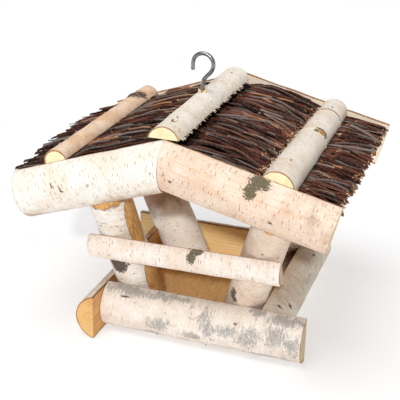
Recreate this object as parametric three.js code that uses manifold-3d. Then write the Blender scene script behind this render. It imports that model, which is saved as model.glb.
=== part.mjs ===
// Hanging bird feeder made of birch half-logs, with a brushwood roof and a screw hook.
// Millimetres, +X to the right seen from the front, +Y to the back, +Z up.
// The origin is on the ground plane under the middle of the roof.
import * as THREE from "three";
import { mergeVertices } from "three/addons/utils/BufferGeometryUtils.js";
import Module from "manifold-3d";

const wasm = await Module();
wasm.setup();

// ---------------------------------------------------------------- driving dimensions
const GAP = 0.3; // clearance between touching pieces

const TRAY = { left: -77.1, right: 93.6, front: -90.5, back: 90.5 }; // inner faces of the base logs
const BASE_HEIGHT = 50; // split face of a base log
const BASE_ENDS = { frontLogRight: 142, rightLogBack: 131, backLogLeft: -115.9, leftLogFront: -130.8 };
const BASE_THICK = { front: 24, right: 26, back: 24, left: 20 };
const FLOOR_THICK = 10;

const RIDGE_Z = 233.8; // top edge of the gable logs at the ridge
const PITCH = { left: 19.1, right: 13.4 }; // degrees
const GABLE_LENGTH = { left: 171.5, right: 180.2 }; // along the top edge, from the ridge
const GABLE_Y = 126.6; // split faces of the gable logs, front and back
const GABLE_HEIGHT = 51.8;
const GABLE_THICK = 19;
const HALF_WIDTH = 175.3; // brushwood tips, left and right of the ridge

// Depths below the gable logs' top edge, square to the slope.
const BRUSH_TOP = { left: 0.8, right: 7.5 };
const BOARD_TOP = 14;
const BOARD_THICK = 4;
const BOARD_LENGTH = { left: 168, right: 176 };

const RIDGE_POLE = { halfWidth: 16.5, thick: 13, front: -129, back: 97 };
const RIDGE_BEAM = { halfWidth: 12, bottom: 195 };
const LEFT_BATTEN = { x: -116, halfWidth: 13, thick: 12.5, front: -126.3, back: 118 };
const RIGHT_BATTEN = { x: 113, halfWidth: 18, thick: 18, taper: 0.83, front: -126.3, back: 126.3 };

// Posts: radius, and the axis at two heights.
const POST_LOW = 10;
const POST_HIGH = 185;
const POSTS = {
  post_front_left: { radius: 20.6, low: [-47.5, -56], high: [-72.2, -117] },
  post_front_right: { radius: 19.8, low: [58.6, -56], high: [116.7, -117] },
  post_back_left: { radius: 22.8, low: [-32.5, 56], high: [-146.2, 117] },
  post_back_right: { radius: 20.2, low: [60, 56], high: [116, 117] },
};

const RAIL = { height: 31, thick: 12, z: 110.5, rise: 6.5 };
const RAIL_SPAN = { front: [-89, 119], back: [-122, 122] };

const NAIL = { radius: 0.9, headRadius: 1.3, headThick: 0.6, tip: 2.5, clearance: 0.4 };
const SCREW = { radius: 1.75, headRadius: 3.6, headThick: 2.6, tip: 4, clearance: 0.45 };

// The hook's shank axis, wire radius, and eye. Its S-bend swings the wire over to the eye's far side.
const HOOK = {
  x: -2, y: -12, wire: 2.1, bend: 11.1, eyeZ: 277.5, tipZ: 270.5,
  arc: [-20, 180], // degrees, from the S-bend over the top to the tip side
  sBend: [[0, 250], [0, 256], [1.2, 261], [4.6, 265.4], [8.4, 269.6]],
};
const THREAD = { core: 1.5, top: 243, tip: 203, point: 5, pitch: 2.4 };
const HOOK_BORE = 2.5;

const LONG_NAIL = 55;
const FLOOR_NAIL = { length: 32, left: -15, right: 40 };
const FLOOR_SCREW = 35;
const RAIL_NAIL = 38;
const GABLE_NAIL = 42;
const BEAM_NAIL = { x: 6.5, z: 205 };
const POLE_NAIL = { x: 3.2, length: 45, front: -100, back: 70 };
const BATTEN_NAIL_Y = { front: -92, back: 92 };

const ROUND_STEPS = 14; // facets round a bark face
const POST_SIDES = 22;
const FASTENER_SIDES = 8;
const REACH = 400; // size of the blocks that trim with one face

// ---------------------------------------------------------------- materials
function material(color, roughness = 0.85, metalness = 0) {
  return new THREE.MeshStandardMaterial({ color, roughness, metalness });
}

const BARK = 0xe9e1d4;
const BARK_ROSE = 0xead9c6;
const BARK_TAN = 0xcfae8a;
const PLYWOOD = 0xb98d54;
const SOFTWOOD = 0xd9b98a;
const TWIGS = 0x4a352d;
const STEEL = 0xa7a9ab;

// ---------------------------------------------------------------- solids
function toSolid(geometry) {
  const bare = geometry.clone();
  bare.deleteAttribute("normal");
  bare.deleteAttribute("uv");
  const merged = mergeVertices(bare, 1e-4);
  return new wasm.Manifold(new wasm.Mesh({
    numProp: 3,
    vertProperties: new Float32Array(merged.attributes.position.array),
    triVerts: new Uint32Array(merged.index.array),
  }));
}

function toGeometry(solid) {
  const mesh = solid.getMesh();
  const geometry = new THREE.BufferGeometry();
  geometry.setAttribute("position", new THREE.BufferAttribute(new Float32Array(mesh.vertProperties), 3));
  geometry.setIndex(new THREE.BufferAttribute(new Uint32Array(mesh.triVerts), 1));
  geometry.computeVertexNormals();
  return geometry;
}

const vec = (x, y, z) => new THREE.Vector3(x, y, z);

// A frame whose Z runs along the log and whose Y points out of the middle of its bark.
function logFrame(centre, axis, bark) {
  const chord = bark.clone().cross(axis);
  return new THREE.Matrix4().makeBasis(chord, bark, axis).setPosition(centre);
}

// A split log: flat face on y = 0, bark towards +y, z along the log, its middle at the origin.
function halfLog(halfWidth, thick, length, taper = 1) {
  const radius = (halfWidth ** 2 + thick ** 2) / (2 * thick);
  const centreY = thick - radius;
  const start = Math.atan2(-centreY, halfWidth);
  const outline = new THREE.Shape();
  outline.moveTo(halfWidth, 0);
  outline.absarc(0, centreY, radius, start, Math.PI - start, false);
  outline.closePath();
  const geometry = new THREE.ExtrudeGeometry(outline, {
    depth: length, steps: 1, bevelEnabled: false, curveSegments: ROUND_STEPS,
  });
  geometry.translate(0, 0, -length / 2);
  const point = geometry.attributes.position;
  for (let i = 0; i < point.count; i++) {
    const scale = 1 + (taper - 1) * (point.getZ(i) / length + 0.5);
    point.setXY(i, point.getX(i) * scale, point.getY(i) * scale);
  }
  return geometry;
}

function block(low, high) {
  const size = high.clone().sub(low);
  const geometry = new THREE.BoxGeometry(size.x, size.y, size.z);
  geometry.translate((low.x + high.x) / 2, (low.y + high.y) / 2, (low.z + high.z) / 2);
  return geometry;
}

// ---------------------------------------------------------------- pieces
// A piece is a solid in the feeder's frame, and the frame that its mesh is placed by.
const pieces = new Map();

function addPiece(name, color, geometry, frame = new THREE.Matrix4(), metal = false) {
  const solid = toSolid(geometry.clone().applyMatrix4(frame));
  const surface = metal ? material(color, 0.3, 1) : material(color);
  pieces.set(name, { solid, frame, surface });
}

function cut(name, geometry) {
  const piece = pieces.get(name);
  piece.solid = piece.solid.subtract(toSolid(geometry));
}

// ---------------------------------------------------------------- base frame and floor
// Four split logs, each butted against the next one's flat face, so that every log runs on
// past one corner.
function addBaseLog(name, from, to, bark, thick) {
  const run = to.clone().sub(from);
  const length = run.length();
  const axis = run.normalize();
  const centre = from.clone().addScaledVector(axis, length / 2);
  addPiece(name, BARK, halfLog(BASE_HEIGHT / 2, thick, length), logFrame(centre, axis, bark));
}

const baseMid = BASE_HEIGHT / 2;
addBaseLog("base_log_front", vec(TRAY.left + GAP, TRAY.front, baseMid),
  vec(BASE_ENDS.frontLogRight, TRAY.front, baseMid), vec(0, -1, 0), BASE_THICK.front);
addBaseLog("base_log_right", vec(TRAY.right, TRAY.front + GAP, baseMid),
  vec(TRAY.right, BASE_ENDS.rightLogBack, baseMid), vec(1, 0, 0), BASE_THICK.right);
addBaseLog("base_log_back", vec(TRAY.right - GAP, TRAY.back, baseMid),
  vec(BASE_ENDS.backLogLeft, TRAY.back, baseMid), vec(0, 1, 0), BASE_THICK.back);
addBaseLog("base_log_left", vec(TRAY.left, TRAY.back - GAP, baseMid),
  vec(TRAY.left, BASE_ENDS.leftLogFront, baseMid), vec(-1, 0, 0), BASE_THICK.left);

const floorLow = vec(TRAY.left + GAP, TRAY.front + GAP, 0);
const floorHigh = vec(TRAY.right - GAP, TRAY.back - GAP, FLOOR_THICK);
addPiece("floor_board", PLYWOOD, block(floorLow, floorHigh));

// ---------------------------------------------------------------- roof
// A point on a slope: run is measured down the slope from the ridge, depth square to it.
function slopePoint(side, run, depth, y) {
  const sign = side === "left" ? -1 : 1;
  const angle = THREE.MathUtils.degToRad(PITCH[side]);
  const x = sign * (run * Math.cos(angle) - depth * Math.sin(angle));
  return vec(x, y, RIDGE_Z - run * Math.sin(angle) - depth * Math.cos(angle));
}

// A slope's own frame: X down the slope, Z square out of it, its origin on the ridge.
function slopeFrame(side) {
  const along = slopePoint(side, 1, 0, 0).sub(slopePoint(side, 0, 0, 0));
  const up = slopePoint(side, 0, -1, 0).sub(slopePoint(side, 0, 0, 0));
  return new THREE.Matrix4().makeBasis(along, up.clone().cross(along), up).setPosition(0, 0, RIDGE_Z);
}

// A flat layer of the roof, in its slope's frame, from the ridge plane outwards.
function addLayer(name, color, side, run, depth, thick) {
  const slack = (depth + thick) * Math.tan(THREE.MathUtils.degToRad(PITCH[side]));
  const inner = GABLE_Y - GAP;
  const layer = block(vec(-slack, -inner, -depth - thick), vec(run, inner, -depth));
  addPiece(name, color, layer, slopeFrame(side));
  cut(name, ridgeTrim(side));
}

// Everything on the far side of the ridge plane, half a gap past it.
function ridgeTrim(side) {
  const near = GAP / 2;
  return side === "left"
    ? block(vec(-near, -REACH, -REACH), vec(REACH, REACH, REACH))
    : block(vec(-REACH, -REACH, -REACH), vec(near, REACH, REACH));
}

function brushRun(side) {
  const angle = THREE.MathUtils.degToRad(PITCH[side]);
  return (HALF_WIDTH + BRUSH_TOP[side] * Math.sin(angle)) / Math.cos(angle);
}

for (const side of ["left", "right"]) {
  const brushThick = BOARD_TOP - GAP - BRUSH_TOP[side];
  addLayer(`roof_board_${side}`, SOFTWOOD, side, BOARD_LENGTH[side], BOARD_TOP, BOARD_THICK);
  addLayer(`brushwood_${side}`, TWIGS, side, brushRun(side), BRUSH_TOP[side], brushThick);

  for (const end of ["front", "back"]) {
    const outward = end === "front" ? -1 : 1;
    const name = `gable_log_${end}_${side}`;
    const overrun = GABLE_HEIGHT * Math.tan(THREE.MathUtils.degToRad(PITCH[side]));
    const length = GABLE_LENGTH[side] + overrun;
    const middle = GABLE_LENGTH[side] - length / 2;
    const centre = slopePoint(side, middle, GABLE_HEIGHT / 2, outward * GABLE_Y);
    const axis = slopePoint(side, 1, 0, 0).sub(slopePoint(side, 0, 0, 0));
    const geometry = halfLog(GABLE_HEIGHT / 2, GABLE_THICK, length);
    addPiece(name, BARK_ROSE, geometry, logFrame(centre, axis, vec(0, outward, 0)));
    cut(name, ridgeTrim(side));
  }
}

// Half-round poles that hold the brushwood down.
const poleMiddle = (RIDGE_POLE.front + RIDGE_POLE.back) / 2;
addPiece("ridge_pole", BARK,
  halfLog(RIDGE_POLE.halfWidth, RIDGE_POLE.thick, RIDGE_POLE.back - RIDGE_POLE.front),
  logFrame(vec(0, poleMiddle, RIDGE_Z + GAP), vec(0, 1, 0), vec(0, 0, 1)));

function addBatten(name, color, side, size) {
  const angle = THREE.MathUtils.degToRad(PITCH[side]);
  const run = Math.abs(size.x) / Math.cos(angle);
  const centre = slopePoint(side, run, BRUSH_TOP[side] - GAP, (size.front + size.back) / 2);
  const up = slopePoint(side, 0, -1, 0).sub(slopePoint(side, 0, 0, 0));
  const geometry = halfLog(size.halfWidth, size.thick, size.back - size.front, size.taper);
  addPiece(name, color, geometry, logFrame(centre, vec(0, 1, 0), up));
}

addBatten("batten_left", BARK_TAN, "left", LEFT_BATTEN);
addBatten("batten_right", BARK, "right", RIGHT_BATTEN);

// A block over the slopes: everything less than this depth below the top edge of the gable logs.
function aboveSlope(side, depth) {
  return block(vec(-REACH, -REACH, -depth), vec(REACH, REACH, REACH)).applyMatrix4(slopeFrame(side));
}

// The ridge beam lies under the roof boards, between the gable logs. The hook ends in it.
const boardBottom = BOARD_TOP + BOARD_THICK;
addPiece("ridge_beam", SOFTWOOD, block(
  vec(-RIDGE_BEAM.halfWidth, -GABLE_Y + GAP, RIDGE_BEAM.bottom),
  vec(RIDGE_BEAM.halfWidth, GABLE_Y - GAP, RIDGE_Z)));
cut("ridge_beam", aboveSlope("left", boardBottom + GAP));
cut("ridge_beam", aboveSlope("right", boardBottom + GAP));

// ---------------------------------------------------------------- posts
function postAxis(post, z) {
  const share = (z - POST_LOW) / (POST_HIGH - POST_LOW);
  return vec(
    THREE.MathUtils.lerp(post.low[0], post.high[0], share),
    THREE.MathUtils.lerp(post.low[1], post.high[1], share), z);
}

// Space outside the tray up to just over the base logs: a post is flattened where it meets them.
const outerTray = toSolid(block(vec(-REACH, -REACH, -REACH), vec(REACH, REACH, BASE_HEIGHT + GAP)));
const innerTray = toSolid(block(
  vec(TRAY.left + GAP, TRAY.front + GAP, -2 * REACH), vec(TRAY.right - GAP, TRAY.back - GAP, REACH)));
const trayFrame = toGeometry(outerTray.subtract(innerTray));

for (const [name, post] of Object.entries(POSTS)) {
  const side = post.low[0] < 0 ? "left" : "right";
  const outward = post.low[1] < 0 ? -1 : 1;
  const foot = postAxis(post, -POST_LOW);
  const head = postAxis(post, POST_HIGH + BASE_HEIGHT);
  const axis = head.clone().sub(foot);
  const geometry = new THREE.CylinderGeometry(post.radius, post.radius, axis.length(), POST_SIDES);
  geometry.rotateX(Math.PI / 2);
  const middle = foot.clone().add(head).multiplyScalar(0.5);
  const turn = new THREE.Quaternion().setFromUnitVectors(vec(0, 0, 1), axis.normalize());
  const frame = new THREE.Matrix4().compose(middle, turn, vec(1, 1, 1));
  addPiece(name, BARK, geometry, frame);
  cut(name, block(vec(-REACH, -REACH, -REACH), vec(REACH, REACH, FLOOR_THICK + GAP)));
  cut(name, trayFrame);
  cut(name, aboveSlope(side, boardBottom + GAP));
  const seat = outward * (GABLE_Y - GAP);
  cut(name, block(
    vec(-REACH, Math.min(seat, outward * REACH), -REACH),
    vec(REACH, Math.max(seat, outward * REACH), REACH)));
}

// ---------------------------------------------------------------- rails
// A split log across two posts, lying against the line where both are widest.
function railFrame(end) {
  const outward = end === "front" ? -1 : 1;
  const ends = Object.entries(POSTS).filter(([name]) => name.includes(end)).map((entry) => entry[1]);
  const lean = postAxis(ends[0], POST_HIGH).sub(postAxis(ends[0], POST_LOW));
  const angle = Math.atan2(outward * lean.y, lean.z);
  const bark = vec(0, outward * Math.cos(angle), -Math.sin(angle));
  const upward = vec(0, outward * Math.sin(angle), Math.cos(angle));
  const reach = Math.max(ends[0].radius, ends[1].radius) + GAP;
  const centre = postAxis(ends[0], RAIL.z).addScaledVector(bark, reach);
  const [left, right] = RAIL_SPAN[end];
  centre.x = (left + right) / 2;
  const axis = vec(right - left, 0, 0).addScaledVector(upward, RAIL.rise).normalize();
  return { centre, axis, bark, upward, length: right - left };
}

for (const end of ["front", "back"]) {
  const rail = railFrame(end);
  addPiece(`rail_${end}`, BARK, halfLog(RAIL.height / 2, RAIL.thick, rail.length),
    logFrame(rail.centre, rail.axis, rail.bark));
}

// ---------------------------------------------------------------- screw hook
function hookCurve() {
  const points = [vec(0, 0, THREAD.top - HOOK.wire)];
  points.push(...HOOK.sBend.map(([x, z]) => vec(x, 0, z)));
  const arcSteps = 10;
  for (let i = 0; i <= arcSteps; i++) {
    const angle = THREE.MathUtils.degToRad(THREE.MathUtils.lerp(...HOOK.arc, i / arcSteps));
    points.push(vec(HOOK.bend * Math.cos(angle), 0, HOOK.eyeZ + HOOK.bend * Math.sin(angle)));
  }
  points.push(vec(-HOOK.bend, 0, HOOK.tipZ));
  return new THREE.CatmullRomCurve3(points);
}

function hookWire() {
  const section = new THREE.Shape();
  section.absarc(0, 0, HOOK.wire, 0, 2 * Math.PI, false);
  return new THREE.ExtrudeGeometry(section, {
    extrudePath: hookCurve(), steps: 44, curveSegments: 10, bevelEnabled: false,
  });
}

// The thread is a stack of ridges on a core, closed by a point.
function hookThread() {
  const { core, top, tip, point, pitch } = THREAD;
  const profile = [new THREE.Vector2(0, tip), new THREE.Vector2(core, tip + point)];
  for (let z = tip + point + pitch / 2; z < top - pitch; z += pitch) {
    profile.push(new THREE.Vector2(core, z));
    profile.push(new THREE.Vector2(HOOK.wire, z + pitch / 2));
  }
  profile.push(new THREE.Vector2(core, top), new THREE.Vector2(0, top));
  return new THREE.LatheGeometry(profile, FASTENER_SIDES).rotateX(Math.PI / 2);
}

// A closed tube of the given radius from one point to another.
function bar(radius, from, to, sides = FASTENER_SIDES) {
  const run = to.clone().sub(from);
  const geometry = new THREE.CylinderGeometry(radius, radius, run.length(), sides);
  const turn = new THREE.Quaternion().setFromUnitVectors(vec(0, 1, 0), run.normalize());
  const middle = from.clone().add(to).multiplyScalar(0.5);
  return geometry.applyMatrix4(new THREE.Matrix4().compose(middle, turn, vec(1, 1, 1)));
}

const hookFrame = new THREE.Matrix4().makeTranslation(HOOK.x, HOOK.y, 0);
const hookSolid = toSolid(hookWire()).add(toSolid(hookThread()));
addPiece("screw_hook", STEEL, toGeometry(hookSolid), hookFrame, true);

const ROOF_LAYERS = {
  left: ["brushwood_left", "roof_board_left"],
  right: ["brushwood_right", "roof_board_right"],
};
const boreBottom = vec(HOOK.x, HOOK.y, THREAD.tip - 1);
const boreTop = vec(HOOK.x, HOOK.y, HOOK.eyeZ);
const hookBore = bar(HOOK_BORE, boreBottom, boreTop, 2 * FASTENER_SIDES);
for (const name of ["ridge_pole", ...ROOF_LAYERS.left, ...ROOF_LAYERS.right, "ridge_beam"]) {
  cut(name, hookBore);
}

// ---------------------------------------------------------------- nails and screws
// A fastener along z with its head's underside on z = 0 and its point at z = -length.
function fastenerGeometry(kind, length) {
  const outline = [
    [0, -length], [kind.radius, kind.tip - length], [kind.radius, 0],
    [kind.headRadius, 0], [kind.headRadius, kind.headThick], [0, kind.headThick],
  ];
  const profile = outline.map(([r, z]) => new THREE.Vector2(r, z));
  return new THREE.LatheGeometry(profile, FASTENER_SIDES).rotateX(Math.PI / 2);
}

// Drives a fastener from the head's seat along a direction, through the named pieces.
function drive(name, kind, seat, direction, length, through) {
  const turn = new THREE.Quaternion().setFromUnitVectors(vec(0, 0, -1), direction);
  addPiece(name, STEEL, fastenerGeometry(kind, length),
    new THREE.Matrix4().compose(seat, turn, vec(1, 1, 1)), true);
  const end = seat.clone().addScaledVector(direction, length + 1);
  const start = seat.clone().addScaledVector(direction, -BASE_HEIGHT);
  const hole = bar(kind.radius + kind.clearance, start, end);
  for (const piece of through) {
    cut(piece, hole);
  }
}

function barkSurface(halfWidth, thick, offset) {
  const radius = (halfWidth ** 2 + thick ** 2) / (2 * thick);
  return Math.sqrt(radius ** 2 - offset ** 2) + thick - radius;
}

drive("nail_base_front_left", NAIL,
  vec(TRAY.left - BASE_THICK.left - GAP, TRAY.front - BASE_THICK.front / 2, baseMid),
  vec(1, 0, 0), LONG_NAIL, ["base_log_left", "base_log_front"]);
drive("nail_base_front_right", NAIL,
  vec(TRAY.right + BASE_THICK.right / 2, TRAY.front - BASE_THICK.front - GAP, baseMid),
  vec(0, 1, 0), LONG_NAIL, ["base_log_front", "base_log_right"]);
drive("nail_base_back_right", NAIL,
  vec(TRAY.right + BASE_THICK.right + GAP, TRAY.back + BASE_THICK.back / 2, baseMid),
  vec(-1, 0, 0), LONG_NAIL, ["base_log_right", "base_log_back"]);
drive("nail_base_back_left", NAIL,
  vec(TRAY.left - BASE_THICK.left / 2, TRAY.back + BASE_THICK.back + GAP, baseMid),
  vec(0, -1, 0), LONG_NAIL, ["base_log_back", "base_log_left"]);

for (const [end, log, outward] of [["front", "base_log_front", -1], ["back", "base_log_back", 1]]) {
  const depth = barkSurface(baseMid, BASE_THICK[end], baseMid - FLOOR_THICK / 2);
  for (const side of ["left", "right"]) {
    const seat = vec(FLOOR_NAIL[side], outward * (TRAY.back + depth), FLOOR_THICK / 2);
    const outside = seat.clone().add(vec(0, outward * BASE_HEIGHT, 0));
    const under = seat.clone().add(vec(0, -outward * GAP, 0));
    const inward = vec(0, -outward, 0);
    drive(`nail_floor_${end}_${side}`, NAIL, seat, inward, FLOOR_NAIL.length, [log, "floor_board"]);
    cut(log, bar(NAIL.headRadius + 2 * GAP, under, outside));
  }
}

for (const [postName, post] of Object.entries(POSTS)) {
  const foot = postAxis(post, FLOOR_THICK + FLOOR_SCREW / 4);
  const seat = vec(foot.x, foot.y, SCREW.headThick + GAP);
  const name = postName.replace("post", "screw");
  drive(name, SCREW, seat, vec(0, 0, 1), FLOOR_SCREW, ["floor_board", postName]);
  const recess = bar(SCREW.headRadius + 2 * GAP, vec(seat.x, seat.y, -1), vec(seat.x, seat.y, seat.z + GAP));
  cut("floor_board", recess);
}

for (const end of ["front", "back"]) {
  const rail = railFrame(end);
  for (const side of ["left", "right"]) {
    const postName = `post_${end}_${side}`;
    const axisPoint = postAxis(POSTS[postName], RAIL.z);
    const along = (axisPoint.x - rail.centre.x) / rail.axis.x;
    const seat = rail.centre.clone().addScaledVector(rail.axis, along);
    seat.addScaledVector(rail.bark, RAIL.thick + GAP);
    const inward = rail.bark.clone().negate();
    drive(`nail_rail_${end}_${side}`, NAIL, seat, inward, RAIL_NAIL, [`rail_${end}`, postName]);
  }
}

for (const end of ["front", "back"]) {
  const outward = end === "front" ? -1 : 1;
  for (const side of ["left", "right"]) {
    const sign = side === "left" ? -1 : 1;
    const postName = `post_${end}_${side}`;
    const log = `gable_log_${end}_${side}`;
    const seatY = outward * (GABLE_Y + GABLE_THICK + GAP);
    const inward = vec(0, -outward, 0);
    const top = postAxis(POSTS[postName], POST_HIGH - GABLE_THICK);
    const angle = THREE.MathUtils.degToRad(PITCH[side]);
    const midZ = RIDGE_Z - Math.abs(top.x) * Math.tan(angle) - GABLE_HEIGHT / 2 / Math.cos(angle);
    const postSeat = vec(postAxis(POSTS[postName], midZ).x, seatY, midZ);
    const beamSeat = vec(sign * BEAM_NAIL.x, seatY, BEAM_NAIL.z);
    drive(`nail_gable_${end}_${side}`, NAIL, postSeat, inward, GABLE_NAIL, [log, postName]);
    drive(`nail_beam_${end}_${side}`, NAIL, beamSeat, inward, GABLE_NAIL, [log, "ridge_beam"]);
  }
}

for (const end of ["front", "back"]) {
  const seat = vec(POLE_NAIL.x, POLE_NAIL[end], RIDGE_Z + RIDGE_POLE.thick + 2 * GAP);
  drive(`nail_ridge_${end}`, NAIL, seat, vec(0, 0, -1), POLE_NAIL.length,
    ["ridge_pole", ...ROOF_LAYERS.left, ...ROOF_LAYERS.right, "ridge_beam"]);
}

for (const [side, size] of [["left", LEFT_BATTEN], ["right", RIGHT_BATTEN]]) {
  const angle = THREE.MathUtils.degToRad(PITCH[side]);
  const down = slopePoint(side, 0, 1, 0).sub(slopePoint(side, 0, 0, 0));
  for (const end of ["front", "back"]) {
    const y = BATTEN_NAIL_Y[end];
    const share = (y - size.front) / (size.back - size.front);
    const thick = size.thick * (1 + ((size.taper ?? 1) - 1) * share);
    const depth = BRUSH_TOP[side] - 2 * GAP - thick;
    const seat = slopePoint(side, Math.abs(size.x) / Math.cos(angle), depth, y);
    const length = boardBottom - depth - 1;
    drive(`nail_batten_${side}_${end}`, NAIL, seat, down, length, [`batten_${side}`, ...ROOF_LAYERS[side]]);
  }
}

// ---------------------------------------------------------------- scene graph
const GROUPS = {
  base: /^(base_log|floor_board|nail_base|nail_floor|screw_)/,
  frame: /^(post|rail|gable|ridge_beam|nail_rail|nail_gable|nail_beam)/,
  roof: /^(roof_board|brushwood|ridge_pole|batten|nail_ridge|nail_batten)/,
};

const feeder = new THREE.Group();
const groups = Object.fromEntries(Object.keys(GROUPS).map((key) => [key, new THREE.Group()]));
feeder.add(...Object.values(groups));

for (const [name, piece] of pieces) {
  const geometry = toGeometry(piece.solid).applyMatrix4(piece.frame.clone().invert());
  const mesh = new THREE.Mesh(geometry, piece.surface);
  mesh.name = name;
  mesh.applyMatrix4(piece.frame);
  const isHook = name === "screw_hook";
  const key = Object.keys(GROUPS).find((group) => !isHook && GROUPS[group].test(name));
  (key ? groups[key] : feeder).add(mesh);
}

export default feeder;
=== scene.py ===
"""Looks of the hanging bird feeder: birch half-logs, a roof of twigs and a screw hook.
Metres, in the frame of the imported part. Sizes below are in millimetres where MM follows them."""
import math
import random

import bmesh
import bpy
import numpy as np
from mathutils import Matrix, Vector, noise


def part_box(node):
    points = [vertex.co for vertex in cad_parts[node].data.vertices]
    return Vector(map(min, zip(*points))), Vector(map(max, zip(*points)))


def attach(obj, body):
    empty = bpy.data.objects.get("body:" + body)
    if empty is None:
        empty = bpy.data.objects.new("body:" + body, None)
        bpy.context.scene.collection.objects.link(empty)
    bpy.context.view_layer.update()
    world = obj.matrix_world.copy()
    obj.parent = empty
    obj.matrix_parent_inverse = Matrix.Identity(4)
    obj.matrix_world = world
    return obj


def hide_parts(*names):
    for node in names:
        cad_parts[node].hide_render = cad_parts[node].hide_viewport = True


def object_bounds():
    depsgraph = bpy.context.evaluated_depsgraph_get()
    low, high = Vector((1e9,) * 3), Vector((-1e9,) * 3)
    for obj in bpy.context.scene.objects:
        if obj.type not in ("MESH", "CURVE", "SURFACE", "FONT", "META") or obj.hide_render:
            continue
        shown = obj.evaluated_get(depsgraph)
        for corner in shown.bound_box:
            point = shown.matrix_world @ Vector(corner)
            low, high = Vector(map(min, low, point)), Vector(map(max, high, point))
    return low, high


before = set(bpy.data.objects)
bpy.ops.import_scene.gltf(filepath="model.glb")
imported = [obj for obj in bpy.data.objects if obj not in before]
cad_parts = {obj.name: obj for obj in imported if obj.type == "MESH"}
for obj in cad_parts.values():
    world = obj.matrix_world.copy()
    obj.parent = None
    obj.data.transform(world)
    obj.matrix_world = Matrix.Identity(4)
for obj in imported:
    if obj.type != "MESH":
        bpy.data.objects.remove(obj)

CAD_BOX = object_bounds()
MM = 0.001

# ---------------------------------------------------------------- named sizes
GAP = 0.3 * MM             # clearance between touching pieces
RING_STEP = 1.5 * MM       # along a log
BARK_STEP = 1.4 * MM       # around a log
FLAT_COLUMNS = 12          # across a split face
CUT_MARGIN = 4 * MM        # how far a log runs on before its ends are cut
EDGE_ROUND = 0.5 * MM      # worn edge of a cut log

CAMERA_AT = Vector((0.3145, -0.9320, 0.5441))
CAMERA_YAW, CAMERA_PITCH = math.radians(18.994), math.radians(23.308)
CAMERA_ROLL = math.radians(1.323)
CAMERA_LENS = 87.35        # on a 36 mm sensor

AMBIENT = 0.24             # strength of the white surroundings
KEY_FROM = (0.224, -0.837, 0.50)
KEY_POWER, KEY_SPREAD = 1.65, 3        # how wide a sun is, in degrees
TOP_FROM = (-0.15, -0.25, 1.0)
TOP_POWER, TOP_SPREAD = 1.65, 40
FLOOR_GLOW = 0.42          # the floor is a lit white table


# ---------------------------------------------------------------- material building
def srgb(r, g, b, a=1.0):
    """A linear colour from 0-255 display values."""
    def channel(v):
        v /= 255
        return v / 12.92 if v <= 0.04045 else ((v + 0.055) / 1.055) ** 2.4
    return (channel(r), channel(g), channel(b), a)


def dimmed(tone, share):
    """A linear colour from display values times share."""
    return srgb(*[int(v * share) for v in tone])


class Field:
    """A value that varies over a surface. Arithmetic on it adds Math nodes to its shader."""

    def __init__(self, shader, socket):
        self.shader, self.socket = shader, socket

    def __add__(self, other):
        return self.shader.math("ADD", self, other)

    def __sub__(self, other):
        return self.shader.math("SUBTRACT", self, other)

    def __mul__(self, other):
        return self.shader.math("MULTIPLY", self, other)

    def __abs__(self):
        return self.shader.math("ABSOLUTE", self)


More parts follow.
